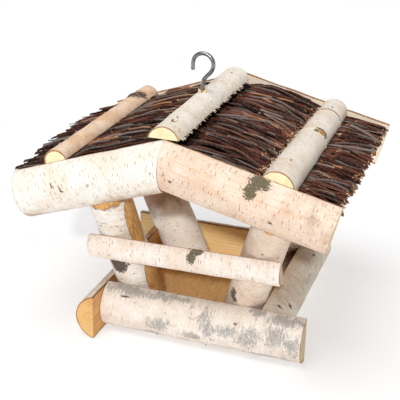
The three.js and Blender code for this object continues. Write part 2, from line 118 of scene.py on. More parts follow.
class Shader:
    """A material under construction. Its methods add nodes and return what those put out."""

    def __init__(self, name, roughness=0.75, specular=0.35, metallic=0.0, own_place=True):
        self.own_place = own_place
        self.material = bpy.data.materials.new(name)
        self.material.use_nodes = True
        self.tree = self.material.node_tree
        self.principled = self.tree.nodes["Principled BSDF"]
        self.principled.inputs["Roughness"].default_value = roughness
        self.principled.inputs["Specular IOR Level"].default_value = specular
        self.principled.inputs["Metallic"].default_value = metallic

    def feed(self, socket, value):
        if isinstance(value, Field):
            self.tree.links.new(value.socket, socket)
        else:
            socket.default_value = value

    def node(self, kind, inputs, **settings):
        made = self.tree.nodes.new(kind)
        for key, value in settings.items():
            setattr(made, key, value)
        for key, value in inputs.items():
            self.feed(made.inputs[key], value)
        return made

    def add(self, kind, output, inputs, **settings):
        return Field(self, self.node(kind, inputs, **settings).outputs[output])

    def place(self):
        """Coordinates in millimetres: the piece's own "place" where it has one."""
        if self.own_place:
            return self.add("ShaderNodeAttribute", "Vector", {}, attribute_name="place")
        return self.stretch(self.add("ShaderNodeTexCoord", "Object", {}), (1000, 1000, 1000))

    def stretch(self, vector, factor, shift=(0, 0, 0)):
        return self.add("ShaderNodeMapping", "Vector",
                        {"Vector": vector, "Scale": factor, "Location": shift})

    def split(self, vector):
        return [Field(self, part) for part in self.node("ShaderNodeSeparateXYZ", {0: vector}).outputs]

    def join(self, x, y, z):
        return self.add("ShaderNodeCombineXYZ", 0, {0: x, 1: y, 2: z})

    def attribute(self, name):
        return self.add("ShaderNodeAttribute", "Fac", {}, attribute_name=name)

    def noise(self, vector, scale, detail=3.0, rough=0.55, distortion=0.0):
        return self.add("ShaderNodeTexNoise", "Fac", {
            "Vector": vector, "Scale": scale, "Detail": detail, "Roughness": rough,
            "Distortion": distortion})

    def cells(self, vector):
        """Flat Voronoi cells: the distance to a cell's point, and a random number for each cell."""
        made = self.node("ShaderNodeTexVoronoi", {"Vector": vector, "Scale": 1.0},
                         voronoi_dimensions="2D")
        return Field(self, made.outputs["Distance"]), self.split(Field(self, made.outputs["Color"]))[0]

    def math(self, operation, a, b=0.0, clamp=False):
        return self.add("ShaderNodeMath", 0, {0: a, 1: b}, operation=operation, use_clamp=clamp)

    def step(self, value, low, high, out_low=0.0, out_high=1.0):
        """A smooth step from out_low at low to out_high at high."""
        return self.add("ShaderNodeMapRange", 0, {0: value, 1: low, 2: high, 3: out_low, 4: out_high},
                        interpolation_type="SMOOTHSTEP")

    def mix(self, factor, a, b):
        return self.add("ShaderNodeMix", 2, {"Factor": factor, 6: a, 7: b}, data_type="RGBA")

    def tint(self, colour, value, low, high, strength, tone):
        """The colour, with none of the tone in it where value is low and strength of it at high."""
        return self.mix(self.step(value, low, high, 0.0, strength), colour, tone)

    def ramp(self, factor, *stops):
        made = self.node("ShaderNodeValToRGB", {0: factor})
        elements = made.color_ramp.elements
        while len(elements) < len(stops):
            elements.new(0.5)
        for element, (position, colour) in zip(elements, stops):
            element.position, element.color = position, colour
        return Field(self, made.outputs[0])

    def bump(self, height, depth):
        """A bump whose full height is depth millimetres."""
        self.feed(self.principled.inputs["Normal"], self.add(
            "ShaderNodeBump", "Normal", {"Strength": 1.0, "Distance": depth * MM, "Height": height}))

    def finish(self, colour, roughness=None):
        self.feed(self.principled.inputs["Base Color"], colour)
        if roughness is not None:
            self.feed(self.principled.inputs["Roughness"], roughness)
        return self.material


# ---------------------------------------------------------------- bark
BROWN_BLACK = srgb(58, 40, 30)
# the next colour is the warm brown of painted shade
SHADE_BROWN = srgb(156, 108, 70)
GREY_DARK, GREY_PALE = srgb(130, 127, 122), srgb(188, 184, 177)
GOLD_WOOD, GOLD_DARK = srgb(236, 186, 120), srgb(182, 128, 68)
RIM_BROWN = srgb(150, 98, 52)

# Two sizes of dashes: how the skin is stretched and shifted, and their share of the look's dashes.
DASHES = (((0.34, 0.056, 0), (0, 0, 0), 1.0), ((0.55, 0.15, 0), (31, 17, 0), 0.5))
DASH_WIDTH = 0.17          # of a cell


class Bark:
    """How one log's bark looks: its two tones, how many dashes it has and how grey it is."""

    def __init__(self, pale, warm, dash=0.3, dash_colour=(96, 78, 62), grey=0.0, streak=0.5,
                 peel=0.12, crack=0.35, relief=0.45, lichen=((62, 57, 45), (122, 113, 84))):
        self.pale, self.warm = srgb(*pale), srgb(*warm)
        self.dash, self.dash_colour = dash, srgb(*dash_colour)
        self.grey, self.streak, self.peel, self.crack, self.relief = grey, streak, peel, crack, relief
        self.lichen = [srgb(*tone) for tone in lichen]


def bark_material(name, look, radius, centre, half_length, split):
    """Birch bark. The bark's round is centred on the log's own z = centre; split is true of a
    half-log, which has a flat face on z = 0. Lengths are in millimetres."""
    s = Shader(name, roughness=0.72, specular=0.3)
    place = s.place()
    x, y, z = s.split(place)
    around = s.math("ARCTAN2", y, z - centre) * radius
    seed = sum(map(ord, name)) % 97
    skin = s.stretch(s.join(x, around, 0.0), (1, 1, 1), (seed * 13.0, seed * 5.0, seed * 1.7))

    # tone: pale to warm patches, then fine rings of paler and darker paper
    cloud = s.noise(skin, 0.035, 4, 0.6, 0.4)
    colour = s.tint(look.pale, cloud, 0.36, 0.66, 1.0, look.warm)
    fine = s.noise(s.stretch(skin, (0.9, 0.09, 1)), 1.0, 4, 0.65)
    colour = s.tint(colour, fine, 0.45, 0.75, 0.42 * look.streak, srgb(196, 170, 148))
    wide = s.noise(s.stretch(skin, (0.22, 0.05, 1)), 1.0, 3, 0.6)
    colour = s.tint(colour, wide, 0.5, 0.72, 0.35 * look.streak, srgb(214, 190, 166))
    peel = s.noise(s.stretch(skin, (0.025, 0.42, 1), (3, 8, 0)), 1.0, 4, 0.6, 0.8)
    colour = s.tint(colour, peel, 0.5, 0.7, look.peel, srgb(228, 188, 146))
    speck = s.noise(skin, 0.9, 3, 0.7)
    colour = s.tint(colour, speck, 0.54, 0.72, 0.42, srgb(176, 152, 130))
    mottle = s.noise(s.stretch(skin, (0.5, 0.3, 1), (7, 2, 0)), 1.0, 4, 0.7)
    colour = s.tint(colour, mottle, 0.5, 0.74, 0.5 * look.streak, srgb(190, 172, 152))
    colour = s.tint(colour, mottle, 0.44, 0.3, 0.5 * look.streak, srgb(252, 247, 240))

    # a few thin cracks that wander across the log
    wander = s.noise(s.stretch(skin, (0.06, 0.02, 1), (5, 1, 0)), 1.0, 2, 0.5, 0.6)
    crack = s.step(abs(wander - 0.5), 0.006, 0.002)
    crack = crack * s.step(s.noise(skin, 0.06, 3, 0.6), 0.5, 0.58, 0.0, look.crack)
    colour = s.mix(crack, colour, srgb(132, 98, 70))

    # painted shade: a warm brown, soft at its edges, where a piece's marks put it: on the top of the
    # back left post and on the lower sides of the front left gable log and the front base log. The same
    # tint browns the front right gable log towards one end.
    shade_ragged = (s.noise(place, 0.05, 4, 0.6) - 0.5) * 0.7
    colour = s.tint(colour, s.attribute("shade_and_stain") + shade_ragged, 0.35, 0.7, 0.85, SHADE_BROWN)

    # grey smudges of old bark, torn into streaks across the log
    torn = s.noise(s.stretch(skin, (0.5, 0.14, 1)), 1.0, 6, 0.78)
    haze = s.noise(skin, 0.07, 4, 0.65)
    level = s.attribute("smudge") * 0.22 + torn * 0.95 + haze * (0.25 + 0.35 * look.grey)
    low = 0.86 - 0.02 * look.grey
    grey_tone = s.tint(GREY_DARK, speck, 0.4, 0.62, 1.0, GREY_PALE)
    colour = s.tint(colour, level, low, low + 0.2, 0.85, grey_tone)

    # lenticels: short dashes across the log
    wobble = (s.noise(skin, 0.5, 3, 0.6) - 0.5) * 0.16
    dashes = 0.0
    for factor, shift, share in DASHES:
        distance, chance = s.cells(s.stretch(skin, factor, shift))
        kept = s.step(chance, look.dash * share, look.dash * share - 0.02)
        dash = s.step(distance + wobble, DASH_WIDTH, DASH_WIDTH * 0.45) * kept
        dashes = s.math("MAXIMUM", dash, dashes)
    colour = s.mix(dashes * 0.75, colour, look.dash_colour)

    # lichen, bare wood and knots, where the piece's marks put them
    ragged = s.noise(skin, 0.42, 5, 0.7)
    lichen = s.step(s.attribute("lichen") + (ragged - 0.5) * 2.6, 0.45, 0.62)
    speckle = s.noise(skin, 0.9, 4, 0.8)
    colour = s.mix(lichen * 0.94, colour, s.mix(s.step(speckle, 0.4, 0.6), *look.lichen))

    bare_field = s.attribute("bare") + (s.noise(skin, 0.12, 5, 0.62) - 0.5) * 0.34
    bare = s.step(bare_field, 0.5, 0.54)
    border = s.step(bare_field, 0.46, 0.5) * s.step(bare_field, 0.58, 0.52)
    grain = s.noise(s.stretch(skin, (0.12, 0.9, 1)), 1.0, 4, 0.7)
    pits = s.noise(skin, 0.8, 4, 0.75)
    gold = s.tint(GOLD_WOOD, grain, 0.35, 0.7, 1.0, GOLD_DARK)
    gold = s.tint(gold, pits, 0.52, 0.68, 0.6, srgb(112, 70, 32))
    colour = s.mix(bare, colour, gold)
    colour = s.mix(border * 0.6, colour, srgb(132, 84, 42))

    knot_field = s.attribute("knot") + (s.noise(skin, 0.7, 3, 0.75) - 0.5) * 2.4
    knot = s.step(knot_field, 0.62, 1.0)
    colour = s.tint(colour, knot_field, 0.25, 0.6, 0.7, srgb(146, 100, 68))
    colour = s.mix(knot * 0.8, colour, BROWN_BLACK)

    # the bark's cut edge
    rim = s.step(abs(x), half_length - 1.0, half_length - 0.3, 0.0, 0.55)
    if split:
        rim = s.math("MAXIMUM", rim, s.step(z, 1.3, 0.3))
    colour = s.mix(rim * s.step(ragged, 0.3, 0.5, 0.35, 0.9), colour, RIM_BROWN)

    s.bump(fine * 0.35 + torn * 0.35 + speck * 0.3 - dashes * 0.15 - crack * 0.5
           + lichen * 0.8 - bare * 0.9 - knot * 0.8, look.relief)
    rough = s.step(fine, 0.3, 0.7, 0.6, 0.8)
    return s.finish(colour, s.math("ADD", rough, lichen * 0.15, clamp=True))


# ---------------------------------------------------------------- wood
def split_material(name, light, dark, half_width, worn=1.0):
    """The split face of a log, with the grain along its own X and a bark line at both edges."""
    s = Shader(name, roughness=0.68, specular=0.25)
    place = s.place()
    y = s.split(place)[1]
    cloud = s.noise(place, 0.02, 3, 0.6)
    grain = s.noise(s.stretch(place, (0.018, 0.4, 0.4)), 1.0, 6, 0.68, 0.7)
    fibre = s.noise(s.stretch(place, (0.05, 2.2, 2.2)), 1.0, 3, 0.6)
    colour = s.tint(srgb(*light), grain, 0.34, 0.68, 1.0, srgb(*dark))
    colour = s.tint(colour, cloud, 0.4, 0.7, 0.35, srgb(*dark))
    colour = s.tint(colour, fibre, 0.52, 0.75, 0.45 * worn, srgb(118, 78, 38))
    tear = s.noise(s.stretch(place, (0.03, 0.8, 0.8), (9, 4, 2)), 1.0, 4, 0.7)
    colour = s.tint(colour, tear, 0.66, 0.74, 0.5 * worn, srgb(96, 62, 32))
    edge = abs(y) + (s.noise(place, 0.25, 4, 0.7) - 0.5) * 3.2
    edge_tone = s.mix(worn, srgb(184, 112, 56), srgb(96, 56, 34))
    colour = s.tint(colour, edge, half_width - 2.3, half_width - 1.5, 0.9, edge_tone)
    s.bump(grain * 0.9 + fibre * 0.4, 0.5)
    return s.finish(colour, s.step(grain, 0.3, 0.7, 0.58, 0.76))


def end_material(name, light, dark, radius, centre):
    """A sawn end: growth rings round the log's heart, stains, saw lines and a brown bark rim."""
    s = Shader(name, roughness=0.7, specular=0.25)
    place = s.place()
    y, z = s.split(place)[1:]
    up = z - centre
    out = s.math("SQRT", y * y + up * up)
    rings = s.math("SINE", (out + s.noise(place, 0.12, 3, 0.6) * 4.0) * 3.4)
    colour = s.tint(srgb(*light), rings, -0.6, 0.9, 0.55, srgb(*dark))
    shade_and_stain = s.noise(place, 0.08, 4, 0.65)
    colour = s.tint(colour, shade_and_stain, 0.46, 0.7, 0.65, srgb(*dark))
    saw = s.noise(s.stretch(place, (1, 1.6, 0.14)), 1.0, 3, 0.6)
    colour = s.tint(colour, saw, 0.55, 0.75, 0.3, srgb(168, 124, 74))
    rim = out + (s.noise(place, 0.3, 3, 0.6) - 0.5) * 1.4
    colour = s.tint(colour, rim, radius - 1.9, radius - 1.1, 0.9, srgb(158, 96, 48))
    s.bump(saw * 0.8 + rings * 0.12, 0.35)
    return s.finish(colour, s.step(saw, 0.3, 0.7, 0.62, 0.78))


def plank_material(name, light, dark):
    """Sawn board with its grain along Y: darker latewood lines, fibres and a little dirt."""
    s = Shader(name, roughness=0.62, specular=0.3, own_place=False)
    place = s.place()
    bend = s.noise(place, 0.012, 2, 0.5)
    grain = s.noise(s.stretch(place, (0.42, 0.03, 0.42)), 1.0, 5, 0.66, 1.3)
    lines = s.math("SINE", (grain + bend * 0.5) * 30.0)
    fibre = s.noise(s.stretch(place, (2.4, 0.09, 2.4)), 1.0, 3, 0.6)
    colour = s.tint(srgb(*light), grain, 0.3, 0.7, 1.0, srgb(*dark))
    colour = s.tint(colour, lines, 0.1, 1.0, 0.45, dimmed(dark, 0.72))
    colour = s.tint(colour, fibre, 0.58, 0.78, 0.5, dimmed(dark, 0.6))
    dirt = s.noise(place, 0.05, 5, 0.7)
    colour = s.tint(colour, dirt, 0.52, 0.72, 0.25, srgb(120, 86, 50))
    s.bump(fibre * 0.7 + grain * 0.3, 0.3)
    return s.finish(colour, s.step(fibre, 0.3, 0.7, 0.54, 0.72))


def twig_material():
    """Thin birch and willow shoots: red-brown, purple-grey and near-black (painted shade on the lower
    courses), with grey flecks, partly bloom and partly painted sheen.
    """
    s = Shader("twig_skin", roughness=0.6, specular=0.16)
    place = s.place()
    tone, along = s.attribute("tone"), s.attribute("along")
    mottled = s.noise(place, 0.35, 4, 0.7)
    fine = s.noise(place, 1.6, 3, 0.7)
    colour = s.ramp(
        s.math("ADD", tone, (mottled - 0.5) * 0.16, clamp=True),
        (0.0, srgb(7, 4, 3)), (0.28, srgb(24, 14, 10)), (0.4, srgb(84, 42, 31)),
        (0.51, srgb(34, 23, 18)), (0.61, srgb(122, 70, 51)), (0.72, srgb(70, 60, 56)),
        (0.84, srgb(134, 121, 116)), (1.0, srgb(182, 122, 74)))
    # painted sheen: fine grey flecks, more of them on the paler twigs
    colour = s.mix(s.step(fine, 0.55, 0.75, 0.0, 0.5) * tone, colour, srgb(140, 126, 120))
    colour = s.tint(colour, mottled, 0.6, 0.75, 0.45, srgb(26, 16, 13))
    ring = s.math("SINE", along * 1.1)
    colour = s.mix(s.step(ring, 0.93, 1.0, 0.0, 0.5) * tone, colour, srgb(160, 136, 112))
    s.bump(fine * 0.6 + ring * 0.2, 0.3)
    return s.finish(colour, s.step(fine, 0.3, 0.7, 0.45, 0.7))


def twig_end_material():
    """Cut and broken ends of twigs, pale in some and brown in others."""
    s = Shader("twig_cut_end", roughness=0.75, specular=0.2)
    place = s.place()
    patch = s.noise(place, 0.3, 2, 0.6)
    fine = s.noise(place, 2.5, 3, 0.7)
    colour = s.tint(srgb(232, 196, 146), patch, 0.4, 0.56, 1.0, srgb(138, 80, 42))
    colour = s.tint(colour, fine, 0.5, 0.7, 0.5, srgb(96, 60, 34))
    s.bump(fine, 0.2)
    return s.finish(colour, s.step(fine, 0.3, 0.7, 0.65, 0.85))


def torn_material(name, light, dark):
    """Curled paper bark or torn fibres, browner where they are rooted."""
    s = Shader(name, roughness=0.8, specular=0.2)
    place = s.place()
    patch, fine = s.noise(place, 0.15, 3, 0.6), s.noise(place, 2.0, 3, 0.7)
    colour = s.tint(srgb(*light), patch, 0.4, 0.62, 1.0, srgb(*dark))
    rooted = s.step(s.attribute("along"), 0.4, 3.0, 0.35, 0.0)
    colour = s.mix(rooted, colour, srgb(140, 104, 70))
    colour = s.tint(colour, fine, 0.55, 0.75, 0.4, srgb(170, 136, 98))
    s.bump(fine, 0.15)
    return s.finish(colour, s.step(fine, 0.3, 0.7, 0.7, 0.9))


def steel_material(name, colour, roughness, worn, own_place=False):
    """Zinc-plated wire or nail: a grey metal with a mottled sheen and fine drawing lines."""
    s = Shader(name, roughness=roughness, specular=0.5, metallic=1.0, own_place=own_place)
    place = s.place()
    cloud = s.noise(place, 0.35, 4, 0.65)
    drawn = s.noise(s.stretch(place, (3, 3, 0.35)), 1.0, 3, 0.6)
    base = s.tint(srgb(*colour), cloud, 0.38, 0.66, 1.0, dimmed(colour, 0.78))
    base = s.tint(base, drawn, 0.55, 0.8, worn, srgb(120, 108, 96))
    s.bump(drawn, 0.06)
    return s.finish(base, s.step(cloud, 0.3, 0.7, roughness - 0.06, roughness + 0.12))


# ---------------------------------------------------------------- reading the CAD pieces
def triangles_of(node):
    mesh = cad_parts[node].data
    mesh.calc_loop_triangles()
    points = np.array([v.co for v in mesh.vertices])
    return points[np.array([t.vertices for t in mesh.loop_triangles])]


def planes_of(triangles):
    """The flat areas of a piece, largest first: [area, normal, distance from the origin]."""
    cross = np.cross(triangles[:, 1] - triangles[:, 0], triangles[:, 2] - triangles[:, 0])
    twice = np.linalg.norm(cross, axis=1)
    planes = []
    for i in np.argsort(-twice):
        if twice[i] < 1e-9:
            break
        normal = cross[i] / twice[i]
        offset = triangles[i].mean(axis=0) @ normal
        for plane in planes:
            if plane[1] @ normal > 0.9999 and abs(plane[2] - offset) < 2e-5:
                plane[0] += twice[i] / 2
                break
        else:
            planes.append([twice[i] / 2, normal, offset])
    return sorted(planes, key=lambda p: -p[0])


def axis_of(triangles):
    """The direction that a log runs in: that of its long parallel edges, or of its spread."""
    corners = [triangles[:, (i + 1) % 3] - triangles[:, i] for i in range(3)]
    edges = np.concatenate(corners)
    length = np.linalg.norm(edges, axis=1)
    long = length > 0.6 * length.max()
    unit = edges[long] / length[long, None]
    lead = np.abs(unit).argmax(axis=1)
    unit *= np.sign(unit[np.arange(len(unit)), lead])[:, None]
    parallel = (unit @ unit.T > 1 - 1e-7).sum(axis=1)
    if parallel.max() >= 8:
        return unit[parallel.argmax()]
    points = np.unique(np.round(triangles.reshape(-1, 3), 6), axis=0)
    spread = np.linalg.svd(points - points.mean(axis=0), full_matrices=False)[2][0]
    return spread * np.sign(spread[np.abs(spread).argmax()])


class LogShape:
    """A log's own frame, X along it and Z out of the middle of its bark, and its size."""

    def __init__(self, node, outward=None):
        triangles = triangles_of(node)
        planes = planes_of(triangles)
        axis = axis_of(triangles)
        if outward is None:
            bark = -planes[0][1]
            axis = axis - bark * (axis @ bark)
            axis /= np.linalg.norm(axis)
        else:
            bark = np.array([0.0, outward, 0.0])
            bark = bark - axis * (bark @ axis)
            bark /= np.linalg.norm(bark)
        side = np.cross(bark, axis)
        turn = np.stack([axis, side, bark])
        points = triangles.reshape(-1, 3) @ turn.T
        low, high = points.min(axis=0), points.max(axis=0)
        self.low, self.high = low[0], high[0]
        self.round = outward is not None
        if self.round:
            strips = [p for p in planes if abs(p[1] @ axis) < 0.02]
            rows = np.array([[p[1] @ side, p[1] @ bark, 1.0] for p in strips])
            offsets = np.array([p[2] for p in strips])
            middle_y, middle_z, _ = np.linalg.lstsq(rows, offsets, rcond=None)[0]
            away = np.hypot(points[:, 1] - middle_y, points[:, 2] - middle_z)
            self.radius = away.max()
            self.centre = 0.0
            self.scale = (1.0, 1.0)
            self.half = self.radius
        else:
            middle_y, middle_z = (low[1] + high[1]) / 2, low[2]
            near = points[points[:, 0] < low[0] + 0.3 * (high[0] - low[0])]
            far = points[points[:, 0] > high[0] - 0.3 * (high[0] - low[0])]
            spans = [np.ptp(near[:, 1]) / 2, np.ptp(far[:, 1]) / 2]
            self.half = max(spans)
            thick = high[2] - low[2]
            self.radius = (self.half ** 2 + thick ** 2) / (2 * thick)
            self.centre = thick - self.radius
            self.scale = (spans[0] / self.half, spans[1] / self.half)
        middle_x = (self.low + self.high) / 2
        origin = np.array([middle_x, middle_y, middle_z]) @ turn
        self.low -= middle_x
        self.high -= middle_x
        self.matrix = Matrix.Translation(Vector(origin)) @ Matrix(turn.T.tolist()).to_4x4()
        self.turn, self.origin = turn, origin
        self.ends = [p for p in planes if abs(p[1] @ axis) > 0.1 and p[0] > 8e-5]

    def scale_at(self, x):
        """The log's taper: its size at x as a share of its largest."""
        share = (x - self.low) / (self.high - self.low)
        return self.scale[0] + (self.scale[1] - self.scale[0]) * share


# ---------------------------------------------------------------- building logs
MARKS = ("knot", "lichen", "smudge", "bare", "shade_and_stain")


def waver(point, size, seed):
    """Smooth noise in -1..1 whose bumps are about size metres long."""
    return noise.noise(Vector(point) / size + Vector((seed * 7.3, seed * 3.1, seed * 1.9)))


def mark_field(marks, x, around, girth):
    """0 away from every mark, 0.5 on a mark's outline and up to 1.5 in its middle."""
    field = 0.0
    for mark_x, mark_around, reach_x, reach_around in marks:
        gap = around - mark_around * MM
        if girth:
            gap = (gap + girth / 2) % girth - girth / 2
        away = math.hypot((x - mark_x * MM) / (reach_x * MM), gap / (reach_around * MM))
        field = max(field, 1.5 - away)
    return field


def log_mesh(shape, marks, seed, rings=(), soft_ends=(0.0, 0.0)):
    """A bmesh of the log before its ends are cut: bark faces have material 0, split faces 1.
    rings are raised bands round the log, as (x, width, height), and soft_ends say how far from
    each end its edge is worn round, all in millimetres."""
    if shape.round:
        start, sweep, flats = 0.0, 2 * math.pi, []
    else:
        start = math.asin(min(1.0, -shape.centre / shape.radius))
        sweep = math.pi - 2 * start
        flats = [i / FLAT_COLUMNS for i in range(1, FLAT_COLUMNS)]
    count = int(sweep * shape.radius / BARK_STEP)
    angles = [start + i * sweep / count for i in range(count if shape.round else count + 1)]
    length = shape.high - shape.low + 2 * CUT_MARGIN
    steps = int(length / RING_STEP)
    bm = bmesh.new()
    layers = {name: bm.verts.layers.float.new(name) for name in MARKS}
    girth = 2 * math.pi * shape.radius if shape.round else 0.0
    loops = []
    for i in range(steps + 1):
        x = shape.low - CUT_MARGIN + i * length / steps
        scale = shape.scale_at(x)
        for end, soft in zip((x - shape.low, shape.high - x), soft_ends):
            if soft and end < soft * MM:
                scale *= math.sqrt(max(0.02, 1 - ((soft * MM - end) / (soft * MM)) ** 2 * 0.75))
        loop = []
        for angle in angles:
            cosine, sine = math.cos(angle), math.sin(angle)
            point = (x, shape.radius * cosine, shape.radius * sine)
            lift = 0.55 * waver(point, 38 * MM, seed) + 0.26 * waver(point, 12 * MM, seed + 5)
            lift += 0.1 * waver(point, 4 * MM, seed + 9) - 0.25
            for ring_x, width, height in rings:
                wander = 1.5 * waver((0, point[1], point[2]), 14 * MM, seed + 3)
                lift += height * math.exp(-(((x / MM - ring_x + wander) / width) ** 2))
            around = (math.pi / 2 - angle) * shape.radius
            values = {name: mark_field(marks.get(name, ()), x, around, girth) for name in MARKS}
            knot = values["knot"]
            lift += 0.7 * math.exp(-((knot - 0.45) / 0.35) ** 2) - 0.6 * max(0.0, knot - 0.8)
            lift += 0.25 * min(1.0, values["lichen"])
            lift -= 0.5 * min(1.0, max(0.0, values["bare"] * 2 - 0.6))
            reach = shape.radius * scale + lift * MM
            z = shape.centre * scale + reach * sine
            if not shape.round:
                z = max(0.0, z)
                if angle in (angles[0], angles[-1]):
                    z = 0.0
            vertex = bm.verts.new((x, reach * cosine, z))
            for name, value in values.items():
                vertex[layers[name]] = value
            loop.append(vertex)
        if flats:
            left, right = loop[-1].co, loop[0].co
            for flat in flats:
                loop.append(bm.verts.new((x, left.y + (right.y - left.y) * flat, 0.0)))
        loops.append(loop)
    size = len(loops[0])
    for near, far in zip(loops, loops[1:]):
        for j in range(size):
            k = (j + 1) % size
            face = bm.faces.new((near[j], near[k], far[k], far[j]))
            face.material_index = 0 if j < count else 1
            face.smooth = True
    bmesh.ops.recalc_face_normals(bm, faces=bm.faces)
    return bm


def cut_flat(bm, point, normal, material):
    """Cuts away what lies beyond a plane and closes the cut with one face."""
    geometry = bm.verts[:] + bm.edges[:] + bm.faces[:]
    bmesh.ops.bisect_plane(
        bm, geom=geometry, plane_co=point, plane_no=normal, clear_outer=True, dist=1e-6)
    rim = [e for e in bm.edges if e.is_boundary]
    if rim:
        for face in bmesh.ops.holes_fill(bm, edges=rim, sides=0)["faces"]:
            face.material_index = material
            face.smooth = False
        bmesh.ops.recalc_face_normals(bm, faces=bm.faces)


def settle(mesh, matrix):
    """Keeps each point's own place, in millimetres, then moves the mesh to where it belongs,
    with nothing lower than the CAD's lowest point."""
    places = np.zeros(len(mesh.vertices) * 3, np.float32)
    mesh.vertices.foreach_get("co", places)
    mesh.attributes.new("place", "FLOAT_VECTOR", "POINT").data.foreach_set("vector", places / MM)
    mesh.transform(matrix)
    for vertex in mesh.vertices:
        vertex.co.z = max(vertex.co.z, CAD_BOX[0].z)
    mesh.update()


def place_piece(mesh, materials, body, replaced=()):
    """Shows a finished mesh as a piece on its body, in place of the CAD nodes it replaces."""
    for material in materials:
        mesh.materials.append(material)
    piece = bpy.data.objects.new(mesh.name, mesh)
    bpy.context.scene.collection.objects.link(piece)
    bpy.context.view_layer.update()
    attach(piece, body)
    if replaced:
        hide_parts(*replaced)
    return piece


def finish_piece(name, bm, matrix, materials, body, replaced=(), bevel=EDGE_ROUND):
    mesh = bpy.data.meshes.new(name)
    bm.to_mesh(mesh)
    bm.free()
    settle(mesh, matrix)
    mesh.set_sharp_from_angle(angle=math.radians(42))
    piece = place_piece(mesh, materials, body, replaced)
    if bevel:
        soften = piece.modifiers.new("worn_edges", "BEVEL")
        soften.width = bevel
        soften.segments = 2
        soften.limit_method = "ANGLE"
        soften.angle_limit = math.radians(48)
        soften.harden_normals = True


def add_log(node, seed, look, wood, end_wood, marks, outward=None, slot="birch_bark", **extra):
    """A finely shaped log in place of a CAD log: bark 0, split face 1, sawn ends 2."""
    shape = LogShape(node, outward)
    bm = log_mesh(shape, marks, seed, **extra)
    if shape.round:
        shape.ends = post_cuts(shape)
    for _, normal, offset in shape.ends:
        local_normal = Vector(shape.turn @ normal)
        local_point = Vector(shape.turn @ (normal * offset - shape.origin))
        seat = shape.round and abs(normal[1]) > 0.9
        cut_flat(bm, local_point, local_normal, 1 if seat else 2)
    if shape.round:
        clamp_foot(bm, shape)
    lengths = (shape.radius / MM, shape.centre / MM)
    half_length = (shape.high - shape.low) / 2 / MM
    materials = [
        bark_material(node + "_bark", look, *lengths, half_length, not shape.round),
        split_material(node + "_split", *wood[:2], shape.half / MM, *wood[2:]),
        end_material(node + "_end", *end_wood, *lengths),
    ]
    finish_piece(node.replace("_log", "") + "_birch", bm, shape.matrix, materials,
                 "feeder", (node,))


def post_cuts(shape):
    """The flat areas that cut a post off: its foot, its head and its seat on the gable log."""
    def cuts(normal, offset):
        foot = normal[2] < -0.99 and abs(offset + FLOOR_TOP + GAP) < 1e-4
        seat = abs(normal[1]) > 0.99 and abs(offset) > SEAT_Y
        return foot or seat or normal[2] > 0.5
    return [p for p in shape.ends if cuts(p[1], p[2])]


def clamp_foot(bm, shape):
    """Flattens a post where it stands against the base logs' split faces."""
    ledge = BASE_TOP + GAP
    low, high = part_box("floor_board")
    down = Vector(shape.turn @ np.array([0.0, 0.0, -1.0]))
    for height in (ledge, ledge - 0.05 * MM):
        point = Vector(shape.turn @ (np.array([0.0, 0.0, height]) - shape.origin))
        geometry = bm.verts[:] + bm.edges[:] + bm.faces[:]
        bmesh.ops.bisect_plane(bm, geom=geometry, plane_co=point, plane_no=down, dist=1e-7)
    back = shape.matrix.inverted()
    for vertex in bm.verts:
        world = shape.matrix @ vertex.co
        if world.z < ledge - 0.02 * MM:
            world.x = min(max(world.x, low.x), high.x)
            world.y = min(max(world.y, low.y), high.y)
            vertex.co = back @ world


FLOOR_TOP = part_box("floor_board")[1].z
BASE_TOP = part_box("base_log_front")[1].z
SEAT_Y = 0.12              # the posts' flat seats against the gable logs are further out than this

# Tones of the logs. Colours are display values. A split face has a light tone, a dark one and,
# where it is cleaner than the rest, how worn it is.
SNOW_BARK = dict(pale=(250, 247, 240), warm=(242, 232, 215))
WHITE_BARK = dict(pale=(250, 246, 240), warm=(240, 228, 212))
CREAM_BARK = dict(pale=(246, 232, 217), warm=(236, 213, 191))
ROSE_BARK = dict(pale=(243, 223, 205), warm=(233, 203, 178))
BEIGE_BARK = dict(pale=(238, 222, 206), warm=(224, 200, 178))
TAN_BARK = dict(pale=(255, 228, 200), warm=(238, 194, 156))
GOLD = ((238, 186, 122), (202, 146, 86))
# a lighter copy of GOLD with cleaner grain, painted light for the split face of the back base log,
# which the light falls on
LIT_GOLD = ((255, 234, 176), (246, 200, 138), 0.7)
CREAM_WOOD = ((255, 248, 232), (250, 232, 200), 0.15)
FRESH_END = ((255, 244, 208), (246, 220, 160))
GOLD_END = ((236, 192, 128), (204, 150, 88))
PALE_END = ((226, 206, 172), (196, 166, 126))
ROOF_WOOD = dict(wood=CREAM_WOOD, end_wood=FRESH_END)
FRAME_WOOD = dict(wood=GOLD, end_wood=GOLD_END)

